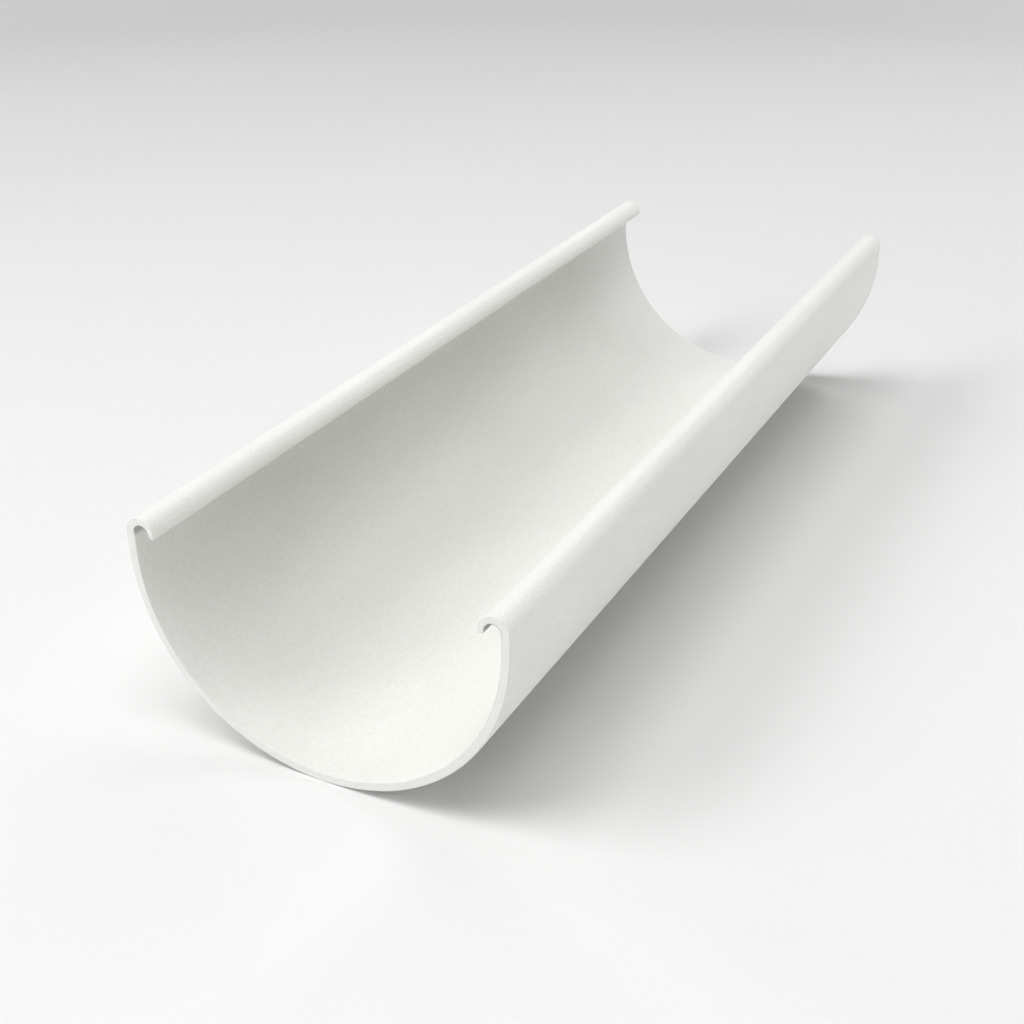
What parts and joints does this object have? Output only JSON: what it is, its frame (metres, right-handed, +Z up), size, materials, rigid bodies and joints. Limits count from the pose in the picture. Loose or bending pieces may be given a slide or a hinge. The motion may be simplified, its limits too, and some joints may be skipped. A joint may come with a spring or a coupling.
{
  "type": "gutter section",
  "caption": "Short half-round plastic rain gutter section with upright side walls, inward-rolled beads along both edges and square-sawn open ends.",
  "frame": {"origin": "on the underside, at the lowest line of the half-round, half way along", "axes": "+X across the gutter, +Y along the gutter, +Z up out of the open channel"},
  "size_m": [0.125, 0.357, 0.0732],
  "materials": {
    "white_plastic": "satin white rigid plastic, plain extruded surface"
  },
  "bodies": {
    "root": {"gutter_section": "white_plastic"}
  },
  "joints": []
}
